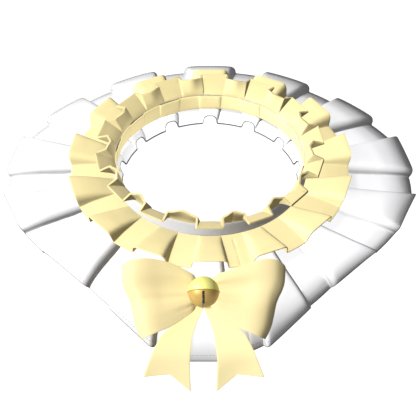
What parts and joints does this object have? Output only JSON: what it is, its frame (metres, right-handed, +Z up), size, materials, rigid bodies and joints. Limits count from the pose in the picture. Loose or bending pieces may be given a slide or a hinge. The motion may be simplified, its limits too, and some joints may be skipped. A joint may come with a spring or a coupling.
{
  "type": "pleated stage collar",
  "caption": "Wide tiered box-pleated stage collar with a neckband, a pleated stand ruffle, and a front ribbon bow with a round jingle bell.",
  "frame": {"origin": "centre of the neck at the neckband's bottom edge, where the wearer's neck and shoulders hold the collar", "axes": "+Z up along the neck, -Y towards the collar's front with the bow, +X towards the wearer's left"},
  "size_m": [0.3828, 0.3554, 0.1347],
  "materials": {
    "white_cotton": "crisp plain-woven cotton",
    "cream_cotton": "crisp plain-woven cotton",
    "band_cotton": "crisp plain-woven cotton",
    "cream_cotton_ruffle": "crisp plain-woven cotton",
    "ribbon_left": "wide soft ribbon",
    "ribbon_right": "wide soft ribbon",
    "ribbon_knot": "wide soft ribbon",
    "ribbon_tail_left": "wide soft ribbon",
    "ribbon_tail_right": "wide soft ribbon",
    "bright_brass": "polished, pale yellow",
    "gold_brass": "polished, deeper gold",
    "shank_brass": "bent wire",
    "steel_pellet": "plain steel ball"
  },
  "bodies": {
    "root": {"white_tier": "white_cotton", "cream_tier": "cream_cotton", "neckband": "band_cotton", "stand_ruffle": "cream_cotton_ruffle", "bow_loop_left": "ribbon_left", "bow_loop_right": "ribbon_right", "bow_knot": "ribbon_knot", "bow_tail_left": "ribbon_tail_left", "bow_tail_right": "ribbon_tail_right", "bell_cap": "bright_brass", "bell_cup": "gold_brass", "bell_shank": "shank_brass", "bell_pellet": "steel_pellet"}
  },
  "joints": []
}
